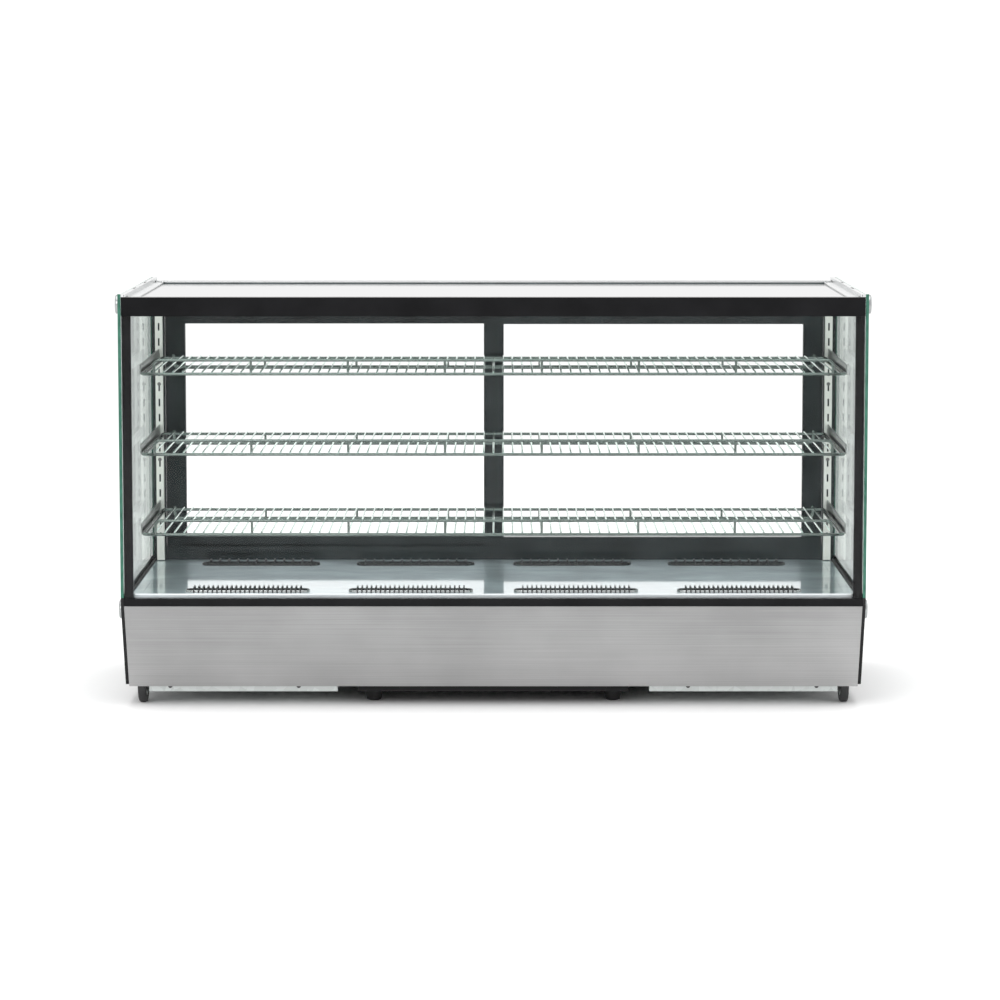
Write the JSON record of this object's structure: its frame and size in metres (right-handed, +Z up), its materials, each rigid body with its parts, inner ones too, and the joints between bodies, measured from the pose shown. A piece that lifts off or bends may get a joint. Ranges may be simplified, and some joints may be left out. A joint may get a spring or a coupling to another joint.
{
  "type": "hot food display case",
  "caption": "Countertop heated display case with glass walls, wire shelves, mirror deck, air vents and sliding rear glass doors.",
  "frame": {"origin": "on the floor, under the middle of the case's overall box", "axes": "+X to the right seen from the front, +Y from the front glass to the rear doors, +Z up"},
  "size_m": [1.219, 0.568, 0.686],
  "materials": {
    "stainless_satin": "satin",
    "stainless_mirror": "mirror polished",
    "galvanised": "dull zinc",
    "black_gloss": "gloss",
    "black_frame": "semi-gloss",
    "black_coat": "matt",
    "aluminium": "satin anodised",
    "shelf_wire": "bright plated",
    "bracket_zinc": "dark plated",
    "pilaster_paint": "satin",
    "vent_grey": "matt",
    "rubber": "matt",
    "tyre_rubber": "matt",
    "black_plastic": "matt",
    "heater_steel": "heat-tinted",
    "light_lens": "frosted",
    "clear_glass": "clear, polished"
  },
  "bodies": {
    "case": {"chassis": "galvanised", "left_base_tray": "galvanised", "right_base_tray": "galvanised", "centre_base_plate": "black_coat", "front_panel": "stainless_satin", "front_trim": "black_gloss", "left_base_side": "black_coat", "right_base_side": "black_coat", "rear_panel": "black_coat", "deck": "stainless_mirror", "front_air_grille": "vent_grey", "rear_air_grille": "vent_grey", "front_glass": "clear_glass", "left_side_glass": "clear_glass", "right_side_glass": "clear_glass", "top_glass": "clear_glass", "front_rail": "black_gloss", "left_top_channel": "aluminium", "right_top_channel": "aluminium", "left_corner_post": "black_frame", "right_corner_post": "black_frame", "rear_sill": "black_frame", "rear_header": "black_frame", "rear_top_trim": "aluminium", "left_rear_post": "black_frame", "right_rear_post": "black_frame", "left_pilaster": "pilaster_paint", "right_pilaster": "pilaster_paint", "heating_element": "heater_steel", "heater_stand": "galvanised", "fan_housing": "black_plastic", "light_housing": "aluminium", "light_lens": "light_lens", "control_box": "black_plastic", "cord_gland": "black_plastic", "lower_left_bracket": "bracket_zinc", "lower_right_bracket": "bracket_zinc", "middle_left_bracket": "bracket_zinc", "middle_right_bracket": "bracket_zinc", "upper_left_bracket": "bracket_zinc", "upper_right_bracket": "bracket_zinc", "left_front_foot": "rubber", "right_front_foot": "rubber", "left_rear_foot": "rubber", "right_rear_foot": "rubber"},
    "left_door": {"left_door_frame": "black_frame", "left_door_glass": "clear_glass"},
    "right_door": {"right_door_frame": "black_frame", "right_door_glass": "clear_glass"},
    "lower_shelf": {"lower_shelf": "shelf_wire"},
    "middle_shelf": {"middle_shelf": "shelf_wire"},
    "upper_shelf": {"upper_shelf": "shelf_wire"},
    "thermostat_knob": {"thermostat_knob": "black_plastic"},
    "power_switch": {"power_switch": "black_plastic"},
    "light_switch": {"light_switch": "black_plastic"},
    "fan_rotor": {"fan_rotor": "black_plastic"},
    "left_front_wheel": {"left_front_wheel": "tyre_rubber"},
    "right_front_wheel": {"right_front_wheel": "tyre_rubber"},
    "left_rear_wheel": {"left_rear_wheel": "tyre_rubber"},
    "right_rear_wheel": {"right_rear_wheel": "tyre_rubber"}
  },
  "joints": [
    {"name": "left_door_slide", "type": "slide", "parent": "case", "child": "left_door", "axis": [1, 0, 0], "range_m": [0, 0.564]},
    {"name": "right_door_slide", "type": "slide", "parent": "case", "child": "right_door", "axis": [1, 0, 0], "range_m": [-0.564, 0]},
    {"name": "lower_shelf_lift", "type": "slide", "parent": "case", "child": "lower_shelf", "axis": [0, 0, 1], "range_m": [0, 0.012]},
    {"name": "middle_shelf_lift", "type": "slide", "parent": "case", "child": "middle_shelf", "axis": [0, 0, 1], "range_m": [0, 0.012]},
    {"name": "upper_shelf_lift", "type": "slide", "parent": "case", "child": "upper_shelf", "axis": [0, 0, 1], "range_m": [0, 0.012]},
    {"name": "thermostat_knob_turn", "type": "hinge", "parent": "case", "child": "thermostat_knob", "pos_m": [-0.345, 0.273, 0.108], "axis": [0, -1, 0], "range_deg": [0, 270]},
    {"name": "power_switch_rock", "type": "hinge", "parent": "case", "child": "power_switch", "pos_m": [-0.462, 0.26255, 0.108], "axis": [1, 0, 0], "range_deg": [0, 16]},
    {"name": "light_switch_rock", "type": "hinge", "parent": "case", "child": "light_switch", "pos_m": [-0.43, 0.26255, 0.108], "axis": [1, 0, 0], "range_deg": [0, 16]},
    {"name": "fan_rotor_spin", "type": "hinge", "parent": "case", "child": "fan_rotor", "pos_m": [0, -0.004, 0.046], "axis": [0, 0, 1], "continuous": true},
    {"name": "left_front_wheel_roll", "type": "hinge", "parent": "case", "child": "left_front_wheel", "pos_m": [-0.584, -0.174, 0.035], "axis": [1, 0, 0], "continuous": true},
    {"name": "right_front_wheel_roll", "type": "hinge", "parent": "case", "child": "right_front_wheel", "pos_m": [0.584, -0.174, 0.035], "axis": [1, 0, 0], "continuous": true},
    {"name": "left_rear_wheel_roll", "type": "hinge", "parent": "case", "child": "left_rear_wheel", "pos_m": [-0.584, 0.166, 0.035], "axis": [1, 0, 0], "continuous": true},
    {"name": "right_rear_wheel_roll", "type": "hinge", "parent": "case", "child": "right_rear_wheel", "pos_m": [0.584, 0.166, 0.035], "axis": [1, 0, 0], "continuous": true}
  ]
}
